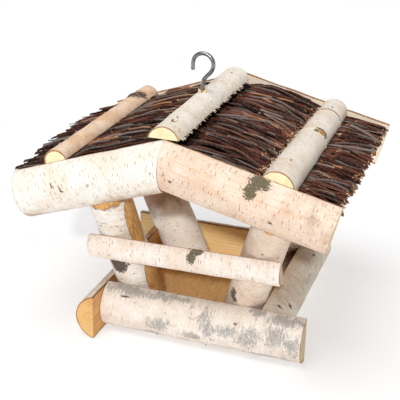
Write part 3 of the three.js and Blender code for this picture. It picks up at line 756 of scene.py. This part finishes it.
# Marks are (x, way round from the top, reach along, reach round) in a log's own frame, in
# millimetres. Rings are (x, width, height).
LOGS = {
    "base_log_front": dict(
        look=Bark(pale=(243, 234, 224), warm=(232, 218, 204), dash=0.07, dash_colour=(150, 130, 110),
                  grey=0.9, streak=0.8),
        wood=GOLD, end_wood=PALE_END,
        marks={
            "smudge": [(-84, 30, 30, 9), (-44, 31, 20, 7), (7, 19, 9, 13), (30, 6, 14, 8),
                       (62, 33, 16, 8), (54, 4, 14, 13), (89, 28, 24, 9), (99, 3, 14, 16),
                       (-4, -8, 11, 6), (-55, -22, 16, 7), (-20, 30, 14, 5), (76, -22, 26, 8),
                       (-42, -2, 17, 8), (10, 4, 9, 16), (84, 10, 16, 14)],
            # painted shade: the last mark below browns the lower side of the log, where less light
            # falls
            "knot": [(40, 15, 2.4, 1.2), (-83, 21, 6, 1.2)], "shade_and_stain": [(0, -133, 1000, 105)]}),
    "base_log_right": dict(
        look=Bark(pale=(236, 226, 210), warm=(214, 198, 176), dash=0.15, grey=0.3, streak=1.0),
        **FRAME_WOOD,
        marks={"knot": [(46, 20, 3, 1.8), (-91, 25, 2, 3), (-74, 15, 3, 3)],
               "smudge": [(0, 10, 30, 12)]}),
    "base_log_back": dict(
        look=Bark(**WHITE_BARK, dash=0.25, grey=0.5), wood=LIT_GOLD, end_wood=GOLD_END,
        marks={"smudge": [(-40, 10, 30, 12), (50, -5, 24, 14)], "knot": [(12, 6, 3, 2)]}),
    "base_log_left": dict(
        look=Bark(**CREAM_BARK, dash=0.25, grey=0.6), **FRAME_WOOD,
        marks={"smudge": [(-60, 20, 24, 10), (30, 4, 28, 16)], "knot": [(60, -4, 3, 2)],
               "bare": [(88, 34, 34, 14), (88, -34, 34, 14)]}),
    "gable_log_front_left": dict(
        look=Bark(**SNOW_BARK, dash=0.55, dash_colour=(160, 140, 110), grey=0.0, streak=0.6,
                  crack=0.1),
        **ROOF_WOOD,
        marks={"knot": [(-40, 8, 1.0, 2.6), (-38, 5.5, 1.8, 0.9), (-31, 2, 1.0, 3),
                        (-29, -1, 1.6, 0.9)],
               # painted shade: the mark below browns the lower side of the log, where less light falls
               "shade_and_stain": [(0, -135, 1000, 105)]}),
    "gable_log_front_right": dict(
        look=Bark(**ROSE_BARK, dash=0.46, dash_colour=(164, 108, 68), grey=0.0, streak=0.5, peel=0.7),
        **ROOF_WOOD,
        marks={"lichen": [(11, 27, 10, 8), (6, 15, 6, 8)],
               "knot": [(-69, -5, 1.8, 1.6), (33, -7, 2.6, 1.2)], "shade_and_stain": [(510, 0, 400, 1000)]}),
    "gable_log_back_left": dict(
        look=Bark(**CREAM_BARK, dash=0.35, grey=0.4), **ROOF_WOOD,
        marks={"knot": [(-20, 4, 3, 2)], "lichen": [(40, -10, 8, 6)]}),
    "gable_log_back_right": dict(
        look=Bark(**WHITE_BARK, dash=0.35, grey=0.5), **ROOF_WOOD,
        marks={"knot": [(25, -3, 3, 2)], "smudge": [(-30, 4, 24, 14)]}),
    "ridge_pole": dict(
        look=Bark(pale=(255, 249, 238), warm=(247, 234, 214), dash=0.1, dash_colour=(170, 148, 120),
                  grey=0.35, streak=0.45, relief=0.9),
        **ROOF_WOOD,
        marks={"knot": [(-94, -3, 1.2, 3.0), (-92, -1, 2.6, 1.0)]}),
    "batten_left": dict(
        look=Bark(**TAN_BARK, dash=0.2, dash_colour=(170, 120, 84), grey=0.0, streak=0.6,
                  lichen=((38, 30, 26), (98, 80, 66))),
        **ROOF_WOOD, slot="tan_bark",
        rings=[(84, 3.6, 1.1)],
        marks={"lichen": [(82, 2, 13, 14), (86, -8, 9, 8)], "knot": [(60, 3, 1.4, 1.2)]}),
    "batten_right": dict(
        look=Bark(pale=(252, 244, 232), warm=(244, 228, 208), dash=0.12, dash_colour=(170, 148, 120),
                  grey=0.45, streak=0.6, relief=0.9),
        **ROOF_WOOD,
        rings=[(9, 2.0, 1.1), (84, 2.2, 1.2)],
        marks={"bare": [(11, -8, 5.5, 6.5)],
               "lichen": [(16.5, -9, 3, 8.5), (7, -2, 3.4, 2.6), (10, -15, 5, 2)],
               "knot": [(12, -9, 1.8, 2.4), (81.5, -4, 1.0, 26)]}),
    "rail_front": dict(
        look=Bark(pale=(250, 239, 229), warm=(241, 223, 207), dash=0.34, dash_colour=(158, 120, 92),
                  grey=0.1, streak=0.6),
        wood=CREAM_WOOD, end_wood=PALE_END, soft_ends=(5.0, 0.0),
        marks={"lichen": [(17, 19, 7, 5), (13, 11, 4.5, 6)]}),
    "rail_back": dict(
        look=Bark(**CREAM_BARK, dash=0.45, dash_colour=(132, 96, 70), grey=0.2),
        **FRAME_WOOD, marks={"knot": [(-40, 3, 3, 2)]}),
    "post_front_left": dict(
        look=Bark(**WHITE_BARK, dash=0.2, dash_colour=(96, 70, 50), grey=0.1, streak=0.8, crack=0.7,
                  lichen=((38, 28, 22), (92, 74, 58))),
        **FRAME_WOOD, outward=-1,
        marks={"bare": [(28, -32, 36, 12), (-58, -32, 42, 12), (96, 0, 35, 120)],
               "lichen": [(-15, 4, 9, 12), (-11, 10, 5, 6), (-21, 5, 7, 9)], "knot": [(-14, 6, 2, 3)]}),
    "post_front_right": dict(
        look=Bark(**BEIGE_BARK, dash=0.2, dash_colour=(150, 110, 84), grey=0.1, streak=0.8,
                  lichen=((56, 48, 42), (112, 102, 96))),
        **FRAME_WOOD, outward=-1,
        marks={"lichen": [(-37, 13, 7, 4), (-42, 9, 4, 3)], "smudge": [(-42, 17, 14, 8)],
               "knot": [(40, -2, 1.4, 1.2), (37, -19, 1.4, 1.2)]}),
    "post_back_left": dict(
        look=Bark(pale=(255, 252, 247), warm=(250, 240, 228), dash=0.2, dash_colour=(140, 112, 88),
                  grey=0.1, streak=0.4),
        **FRAME_WOOD, outward=1,
        # painted shade: the last mark below browns the top of the post, in the shade of the roof
        marks={"knot": [(-20, 52, 1.2, 0.9)], "shade_and_stain": [(60, 65, 84, 400)]}),
    "post_back_right": dict(
        look=Bark(**BEIGE_BARK, dash=0.3, grey=0.4, streak=0.8),
        **FRAME_WOOD, outward=1,
        # the large knot mark below is a near-black patch low on the post, partly dark bark and partly
        # painted shade in the back right corner
        marks={"knot": [(-62, 46, 18, 12)], "smudge": [(20, 0, 30, 14)]}),
}

for log_seed, (log_node, log_settings) in enumerate(LOGS.items(), start=3):
    add_log(log_node, log_seed, **log_settings)


# ---------------------------------------------------------------- brushwood
FLOW, FLOW_SEED = 11 * MM, 5.5   # how far the twigs of one patch bend to the side together
SINK_FROM, SINK_OVER = 66, 26    # how far back the left slope's low corner begins, and its ramp
LOOSE_TWIGS = 44                 # thin ones that lie on top, across the others


class Slope:
    """A roof slope's own frame: X down the slope from the ridge, Y to the back, Z out of it."""

    def __init__(self, side):
        self.sign = -1 if side == "left" else 1
        self.skew = -0.085 if side == "left" else 0.0      # the left eave leans out to the back
        self.sink = 4.5 * MM if side == "left" else 0.0    # and its twigs lie lower there
        planes = planes_of(triangles_of("brushwood_" + side))
        top = max((p for p in planes[:6] if p[1][2] > 0.9), key=lambda p: p[2])
        under = min((p for p in planes[:6] if p[1][2] < -0.9), key=lambda p: -p[2])
        self.up = top[1]
        self.thick = top[2] + under[2]
        self.down = np.cross(np.array([0.0, self.sign, 0.0]), self.up)
        self.origin = np.array([0.0, 0.0, top[2] / top[1][2]])
        low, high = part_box("brushwood_" + side)
        self.half_width = high.y
        self.length = max(abs(low.x), abs(high.x)) / abs(self.down[0])
        low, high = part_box("screw_hook")
        self.wire = (high.y - low.y) / 2
        self.hook_x, self.hook_y = (low.x + high.x) / 2, self.sign * (low.y + high.y) / 2

    def matrix(self):
        across = np.cross(self.up, self.down)
        turn = np.stack([self.down, across, self.up], axis=1)
        return Matrix.Translation(Vector(self.origin)) @ Matrix(turn.tolist()).to_4x4()


class Bundle:
    """Collects twigs or slivers, each a tapered tube with two cut ends, into one mesh."""

    def __init__(self):
        self.points, self.faces, self.materials = [], [], []
        self.tone, self.along = [], []

    def add(self, path, radii, tone, sides=7, skin=0):
        first = len(self.points)
        travelled = 0.0
        for i, (centre, radius) in enumerate(zip(path, radii)):
            ahead = path[min(i + 1, len(path) - 1)] - path[max(i - 1, 0)]
            forward = ahead / np.linalg.norm(ahead)
            side = np.cross(forward, (0.0, 0.0, 1.0))
            side /= np.linalg.norm(side)
            above = np.cross(side, forward)
            if i:
                travelled += np.linalg.norm(centre - path[i - 1])
            slant = {0: 0.9, len(path) - 1: -0.9}.get(i, 0.0) * radius
            for j in range(sides):
                angle = 2 * math.pi * j / sides
                ring = radius * (math.cos(angle) * side + math.sin(angle) * above)
                self.points.append(centre + ring + slant * math.sin(angle) * forward)
                self.tone.append(tone)
                self.along.append(travelled / MM)
        for i in range(len(path) - 1):
            for j in range(sides):
                a, b = first + i * sides + j, first + i * sides + (j + 1) % sides
                self.faces.append((a, a + sides, b + sides, b))
                self.materials.append(skin)
        last = first + (len(path) - 1) * sides
        self.faces.append(tuple(first + j for j in range(sides)))
        self.faces.append(tuple(last + j for j in reversed(range(sides))))
        self.materials += [1, 1]

    def build(self, name, matrix, materials, slot, replaced=()):
        """Shows the collected tubes as one piece on the feeder."""
        mesh = bpy.data.meshes.new(name)
        mesh.from_pydata([tuple(p) for p in self.points], [], self.faces)
        mesh.polygons.foreach_set("material_index", self.materials)
        mesh.polygons.foreach_set("use_smooth", [len(f) == 4 for f in self.faces])
        for key, values in (("tone", self.tone), ("along", self.along)):
            mesh.attributes.new(key, "FLOAT", "POINT").data.foreach_set("value", values)
        settle(mesh, matrix)
        place_piece(mesh, materials, "feeder", replaced)


TWIG_SKIN, TWIG_END = twig_material(), twig_end_material()


def twig_path(chance, start, stop, across, height, holds, fan=0.0, wild=1.0, step=8 * MM, sink=0.0):
    """A wavy line down the slope, bent the same way as its neighbours and a little its own way.
    holds are the places, (run, reach), at which a pole presses the twigs down."""
    count = max(4, int((stop - start) / step))
    seed = chance.uniform(0, 90)
    path = []
    for i in range(count + 1):
        run = start + (stop - start) * i / count
        flow = FLOW * noise.noise(Vector((run / (120 * MM), across / (45 * MM), FLOW_SEED)))
        drift = 6.5 * wild * MM * noise.noise(Vector((run / (70 * MM), seed, 0.0)))
        kink = 1.3 * wild * MM * noise.noise(Vector((run / (20 * MM), seed, 4.0)))
        y = across + flow + drift + kink + fan * (run - start)
        lift = 1.0
        for at, reach in holds:
            lift *= min(1.0, max(0.0, (abs(run - at) - reach) / (18 * MM)))
        rise = 2.2 * MM * noise.noise(Vector((run / (24 * MM), seed, 9.0)))
        clump = 2.6 * MM * noise.noise(Vector((run / (90 * MM), across / (11 * MM), 2.2)))
        z = height * (1 if height < 0 else lift) + lift * (rise * wild + clump) - sink
        path.append(np.array([run, y, z]))
    return path


def keep_inside(path, radii, slope, holds):
    """Keeps a twig between the gable logs, under the poles and clear of the hook's thread."""
    for i, (point, radius) in enumerate(zip(path, radii)):
        limit = slope.half_width - radius - 0.2 * MM
        point[1] = min(max(point[1], -limit), limit)
        if any(abs(point[0] - at) < reach for at, reach in holds):
            point[2] = min(point[2], -radius - 0.4 * MM)
        clear = slope.wire + radius + 0.4 * MM
        if abs(point[1] - slope.hook_y) < clear:
            hook_run = (slope.hook_x - point[2] * slope.up[0]) / slope.down[0]
            point[0] = max(point[0], hook_run + clear + 2 * i * MM)


def add_twig(thatch, chance, slope, start, stop, across, height, thick, holds, tone, fan, wild):
    back = min(1.0, max(0.0, (slope.sign * across / MM - SINK_FROM) / SINK_OVER))
    path = twig_path(chance, start, stop, across, height, holds, fan, wild, sink=slope.sink * back)
    thin = chance.uniform(0.55, 0.9)
    flip = chance.random() < 0.3
    seed = chance.uniform(0, 50)
    radii = []
    for i in range(len(path)):
        share = i / (len(path) - 1)
        swell = 1 + 0.16 * noise.noise(Vector((i * 0.9, seed, 0.0)))
        radii.append(thick * (1 - (1 - thin) * (1 - share if flip else share)) * swell)
    keep_inside(path, radii, slope, holds)
    thatch.add(path, radii, min(1.0, max(0.0, tone)))


def add_course(thatch, slope, chance, spacing, level, radius, start, stop, holds, tones,
               wild=1.0, fan=0.03):
    """One layer of twigs side by side. level is the height of their middles over the slab's top."""
    count = int(2 * slope.half_width / spacing)
    for i in range(count):
        across = -slope.half_width + (i + 0.5 + chance.uniform(-0.6, 0.6)) * spacing
        height = level + chance.uniform(-0.8, 0.8) * MM
        end = chance.uniform(*stop) + (slope.skew * across if stop[1] > slope.length - 30 * MM else 0.0)
        add_twig(thatch, chance, slope, chance.uniform(*start), end, across, height,
                 chance.triangular(*radius, radius[0]), holds, chance.triangular(*tones),
                 chance.gauss(0, fan), wild)


def curl(chance, start, heading, length, lift):
    """Four points of a short sliver that bends away from where it starts."""
    sideways = np.cross(heading, lift)
    sway = chance.uniform(-0.35, 0.35)
    return [start + length * (share * heading + share * share * (lift * 0.5 + sideways * sway))
            for share in (0.0, 0.33, 0.66, 1.0)]


def add_splinters(thatch, chance, at, count, half_width):
    """Broken ends of pale wood among the twigs, in a row across the slope."""
    for _ in range(count):
        start = np.array([at + chance.gauss(0, 2.4) * MM, chance.uniform(-half_width, half_width),
                          chance.uniform(0.5, 3.4) * MM])
        turn = chance.gauss(0, 0.9)
        heading = np.array([math.cos(turn), math.sin(turn), chance.uniform(-0.1, 0.5)])
        thick = chance.uniform(0.5, 1.0) * MM
        path = curl(chance, start, heading, chance.uniform(1.2, 3.6) * MM, np.array([0.0, 0.0, 1.0]))
        thatch.add(path, [thick, thick * 0.9, thick * 0.7, thick * 0.4], 0.5, 5, 1)


# The layers in sight: spacing, height over the slab's top, thinnest and thickest twig, in
# millimetres, then how wavy the twigs are and how far they fan out.
TOP_COURSES = ((4.6, -1.0, 1.1, 2.4, 1.0, 0.06), (6.4, 1.2, 1.0, 2.3, 1.2, 0.09),
               (10, 3.0, 0.7, 1.8, 1.6, 0.13))


def add_brushwood(side, poles, eave):
    slope = Slope(side)
    chance = random.Random(41 if side == "left" else 52)
    holds = [(at * MM, reach * MM) for at, reach in poles]
    thatch = Bundle()
    floor = -slope.thick
    # painted shade: the bed under the twigs and the courses below the top ones get near-black tones,
    # standing for the shade in the gaps between the top twigs
    dark, shade_tones, mixed = (0.0, 0.08, 0.0), (0.0, 0.3, 0.02), (0.1, 1.0, 0.5)
    tip = slope.length + eave[0] * MM, slope.length + eave[1] * MM
    bed_tip = (slope.length - 12 * MM, slope.length - 4 * MM)
    near_ridge = (2 * MM, 5 * MM)
    add_course(thatch, slope, chance, 2.4 * MM, floor + 1.8 * MM, (1.4 * MM, 1.7 * MM),
               near_ridge, bed_tip, holds, dark, wild=0.2, fan=0.0)
    level = floor + 4.2 * MM
    while level < -2.4 * MM:
        add_course(thatch, slope, chance, 3.4 * MM, level, (1.2 * MM, 1.9 * MM),
                   near_ridge, tip, holds, shade_tones, wild=0.8)
        level += 2.9 * MM
    start = (5 * MM, 22 * MM) if side == "right" else (3 * MM, 9 * MM)
    for spacing, level, thin, thick, wild, fan in TOP_COURSES:
        add_course(thatch, slope, chance, spacing * MM, level * MM, (thin * MM, thick * MM),
                   start, tip, holds, mixed, wild, fan)
    batten_at, batten_reach = holds[-1]
    if side == "right":
        stop = (batten_at - batten_reach - 14 * MM, batten_at - batten_reach - 0.5 * MM)
        add_course(thatch, slope, chance, 7 * MM, 2.4 * MM, (1.1 * MM, 1.8 * MM),
                   (20 * MM, 60 * MM), stop, holds[:1], mixed, wild=1.6, fan=0.1)
        begin = (batten_at + batten_reach + 0.5 * MM, batten_at + batten_reach + 12 * MM)
        add_course(thatch, slope, chance, 7 * MM, 2.2 * MM, (1.0 * MM, 2.0 * MM),
                   begin, tip, [], mixed, wild=1.2, fan=0.3)
    for _ in range(LOOSE_TWIGS):
        begin = chance.uniform(14, 110) * MM
        length = chance.uniform(35, 80) * MM
        add_twig(thatch, chance, slope, begin, min(begin + length, tip[1]),
                 chance.uniform(-112, 112) * MM, 3.8 * MM, chance.uniform(0.7, 1.4) * MM, holds,
                 chance.uniform(0.3, 1.0), chance.uniform(-0.35, 0.35), 1.3)
    edges = [(slope.length - 6 * MM, 55), (batten_at - batten_reach - 3 * MM, 75)]
    for at, count in edges if side == "right" else []:
        add_splinters(thatch, chance, at, count, slope.half_width - 6 * MM)
    thatch.build("thatch_" + side, slope.matrix(), (TWIG_SKIN, TWIG_END), "brushwood",
                 ("brushwood_" + side,))


add_brushwood("left", poles=[(8, 12), (122.8, 14)], eave=(-14, 0))
add_brushwood("right", poles=[(8, 12), (116, 19)], eave=(-6, 0))


# ---------------------------------------------------------------- loose bark
TORN_BARK = torn_material("torn_bark", (250, 240, 224), (222, 200, 172))
TORN_FIBRE = torn_material("torn_fibre", (252, 236, 196), (230, 196, 138))


def add_torn_bark(node, count, middle, spread, seed):
    """Loose curls on a half-log, gathered round a line middle mm round it from its top."""
    shape, chance, loose = LogShape(node), random.Random(seed), Bundle()
    edge = math.acos(-shape.centre / shape.radius) - 1.0 * MM / shape.radius
    for _ in range(count):
        x = chance.uniform(shape.low + 5 * MM, shape.high - 4 * MM)
        turn = chance.gauss(middle, spread) * MM / shape.radius
        fringe = abs(turn) > edge
        if fringe:
            turn = math.copysign(edge - chance.uniform(0, 2.5) * MM / shape.radius, turn)
        out = np.array([0.0, math.sin(turn), math.cos(turn)])
        scale = shape.scale_at(x)
        start = np.array([x, 0.0, shape.centre * scale]) + out * (shape.radius * scale - 0.5 * MM)
        start[2] = max(start[2], 0.6 * MM)
        bearing = chance.gauss(0, 0.6) + chance.choice((0, math.pi))
        if fringe:
            bearing = math.copysign(math.pi / 2, turn) + chance.gauss(0, 0.5)
        round_way = np.array([0.0, math.cos(turn), -math.sin(turn)])
        heading = math.cos(bearing) * np.array([1.0, 0.0, 0.0]) + math.sin(bearing) * round_way
        heading += 0.25 * out
        thick = chance.uniform(0.25, 0.5) * MM
        heading /= np.linalg.norm(heading)
        path = curl(chance, start, heading, chance.uniform(1.2, 3.6) * MM, out)
        loose.add(path, [thick, thick, thick * 0.8, thick * 0.4], 0.5, 5)
    loose.build(node + "_loose_bark", shape.matrix, (TORN_BARK, TORN_BARK), "birch_bark")


def add_torn_fibres():
    """The tuft that the screw hook has pushed up out of the ridge pole."""
    chance, loose = random.Random(8), Bundle()
    middle = np.array((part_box("screw_hook")[0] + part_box("screw_hook")[1]) / 2)
    middle[2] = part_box("ridge_pole")[1].z
    for i in range(18):
        bearing = 2 * math.pi * i / 18 + chance.uniform(-0.3, 0.3)
        out = np.array([math.cos(bearing), math.sin(bearing), 0.0])
        start = middle + out * chance.uniform(2.9, 3.4) * MM
        start[2] -= (0.9 + 0.4 * abs(out[0])) * MM
        heading = 0.08 * out + np.array([0.0, 0.0, 1.0])
        thick = chance.uniform(0.5, 0.85) * MM
        path = curl(chance, start, heading, chance.uniform(3.0, 8.0) * MM, 0.25 * out)
        loose.add(path, [thick, thick, thick * 0.7, thick * 0.3], 0.5, 5)
    loose.build("torn_fibres", Matrix.Identity(4), (TORN_FIBRE, TORN_FIBRE), "birch_bark")


add_torn_bark("ridge_pole", 300, -24, 13, 3)
add_torn_bark("batten_right", 260, 20, 13, 4)
add_torn_bark("batten_left", 60, 0, 20, 5)
add_torn_fibres()


# ---------------------------------------------------------------- boards, floor and steel
def dress(node, material):
    """Gives a CAD node that is shown as it is a finished material."""
    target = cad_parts[node]
    target.data.materials.clear()
    target.data.materials.append(material)


SOFTWOOD = plank_material("roof_board_wood", (226, 190, 136), (196, 152, 98))
dress("roof_board_left", SOFTWOOD)
dress("roof_board_right", SOFTWOOD)
dress("ridge_beam", plank_material("beam_wood", (230, 196, 146), (200, 158, 106)))
dress("floor_board", plank_material("floor_wood", (248, 206, 144), (224, 176, 114)))

NAIL_STEEL = steel_material("nail_steel", (232, 222, 208), 0.55, 0.3)
for node_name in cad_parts:
    if node_name.startswith(("nail_", "screw_")) and node_name != "screw_hook":
        dress(node_name, NAIL_STEEL)


# The hook's centre line, (x, z) in bend radii from the middle of its eye, up to where the eye's
# arc begins.
SHANK_LINE = ((0.0, -6.7), (0.0, -3.2), (0.0, -2.48), (0.0, -1.94), (0.108, -1.486),
              (0.414, -1.09), (0.757, -0.712))
EYE_START, EYE_END = -20, 180      # degrees round the eye
HOOK_STEP = 0.5 * MM
THREAD_PITCH = 2.4 * MM


def smooth_line(points, step):
    """A Catmull-Rom curve through the points, resampled at about even steps."""
    line = []
    padded = [points[0], *points, points[-1]]
    for a, b, c, d in zip(padded, padded[1:], padded[2:], padded[3:]):
        count = max(1, round(np.linalg.norm(c - b) / step))
        for i in range(count):
            u = i / count
            line.append(0.5 * (2 * b + (c - a) * u + (2 * a - 5 * b + 4 * c - d) * u * u
                               + (3 * b - a - 3 * c + d) * u ** 3))
    return line + [points[-1]]


def add_hook():
    """The wire hook, round and smooth, with its screw thread inside the ridge pole."""
    low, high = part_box("screw_hook")
    wire = (high.y - low.y) / 2
    bend = (high.x - low.x) / 2 - wire
    eye = np.array([(low.x + high.x) / 2, (low.y + high.y) / 2, high.z - bend - wire])
    points = [eye + bend * np.array([x, 0.0, z]) for x, z in SHANK_LINE]
    for degrees in range(EYE_START, EYE_END + 1, 20):
        turn = math.radians(degrees)
        points.append(eye + bend * np.array([math.cos(turn), 0.0, math.sin(turn)]))
    points.append(points[-1] - np.array([0.0, 0.0, 7.0 * MM]))
    points[0][2] = low.z
    line = smooth_line(points, HOOK_STEP)
    thread_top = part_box("ridge_pole")[1].z - 2 * MM
    bm, rings, sides = bmesh.new(), [], 24
    for i, centre in enumerate(line):
        ahead = line[min(i + 1, len(line) - 1)] - line[max(i - 1, 0)]
        forward = ahead / np.linalg.norm(ahead)
        side = np.array([0.0, 1.0, 0.0])
        above = np.cross(side, forward)
        tip = min(1.0, 0.82 + 0.1 * (len(line) - 1 - i))
        point = min(1.0, 0.3 + 0.035 * i)
        ring = []
        for j in range(sides):
            turn = 2 * math.pi * j / sides
            reach = wire * tip
            if centre[2] < thread_top and i < len(line) / 2:
                crest = abs((centre[2] / THREAD_PITCH + j / sides) % 1.0 - 0.5) * 2
                reach = wire * point * (0.98 - 0.26 * (1 - crest) ** 0.7)
            place = centre + reach * (math.cos(turn) * side + math.sin(turn) * above)
            ring.append(bm.verts.new(place))
        rings.append(ring)
    for near, far in zip(rings, rings[1:]):
        for j in range(sides):
            bm.faces.new((near[j], near[(j + 1) % sides], far[(j + 1) % sides], far[j])).smooth = True
    bm.faces.new(rings[0][::-1])
    bm.faces.new(rings[-1])
    bmesh.ops.recalc_face_normals(bm, faces=bm.faces)
    steel = steel_material("zinc_steel", (162, 163, 163), 0.32, 0.1, own_place=True)
    finish_piece("hook_wire", bm, Matrix.Identity(4), (steel,), "hook",
                 ("screw_hook",), bevel=0)


add_hook()


# ---------------------------------------------------------------- camera, floor and light
def add_camera():
    forward = Vector((
        -math.sin(CAMERA_YAW) * math.cos(CAMERA_PITCH),
        math.cos(CAMERA_YAW) * math.cos(CAMERA_PITCH),
        -math.sin(CAMERA_PITCH)))
    level = Vector((math.cos(CAMERA_YAW), math.sin(CAMERA_YAW), 0))
    upright = level.cross(forward)
    right = math.cos(CAMERA_ROLL) * level + math.sin(CAMERA_ROLL) * upright
    up = -math.sin(CAMERA_ROLL) * level + math.cos(CAMERA_ROLL) * upright
    camera = bpy.data.objects.new("camera", bpy.data.cameras.new("camera"))
    bpy.context.scene.collection.objects.link(camera)
    turn = Matrix((right, up, -forward)).transposed().to_4x4()
    camera.matrix_world = Matrix.Translation(CAMERA_AT) @ turn
    camera.data.sensor_width = 36
    camera.data.lens = CAMERA_LENS
    camera.data.clip_start, camera.data.clip_end = 0.01, 60
    bpy.context.scene.camera = camera


def add_floor():
    s = Shader("studio_floor", roughness=0.9, specular=0.1, own_place=False)
    haze = s.noise(s.place(), 0.004, 3, 0.6)
    colour = s.mix(s.step(haze, 0.3, 0.7), srgb(203, 203, 204), srgb(200, 200, 201))
    s.principled.inputs["Emission Color"].default_value = (1.0, 1.0, 1.0, 1.0)
    s.principled.inputs["Emission Strength"].default_value = FLOOR_GLOW
    material = s.finish(colour)
    bm = bmesh.new()
    bmesh.ops.create_grid(bm, x_segments=8, y_segments=8, size=12)
    mesh = bpy.data.meshes.new("studio_floor")
    bm.to_mesh(mesh)
    bm.free()
    mesh.materials.append(material)
    floor = bpy.data.objects.new("studio_floor", mesh)
    bpy.context.scene.collection.objects.link(floor)
    floor.location.z = CAD_BOX[0].z - 0.2 * MM


def add_sun(name, direction, power, spread):
    """An even light from the given direction, softened over spread degrees."""
    data = bpy.data.lights.new(name, "SUN")
    data.energy, data.angle = power, math.radians(spread)
    lamp = bpy.data.objects.new(name, data)
    bpy.context.scene.collection.objects.link(lamp)
    away = Vector(direction).normalized()
    lamp.location = away * 2
    lamp.rotation_mode = "QUATERNION"
    lamp.rotation_quaternion = (-away).to_track_quat("-Z", "Y")


def add_light():
    world = bpy.data.worlds.new("studio")
    world.use_nodes = True
    background = world.node_tree.nodes["Background"]
    background.inputs["Color"].default_value = (1.0, 1.0, 1.0, 1.0)
    background.inputs["Strength"].default_value = AMBIENT
    bpy.context.scene.world = world
    add_sun("key_light", KEY_FROM, KEY_POWER, KEY_SPREAD)
    add_sun("top_light", TOP_FROM, TOP_POWER, TOP_SPREAD)
    bpy.context.scene.view_settings.view_transform = "Standard"
    bpy.context.scene.view_settings.look = "None"


add_camera()
add_floor()
add_light()

bpy.context.view_layer.update()
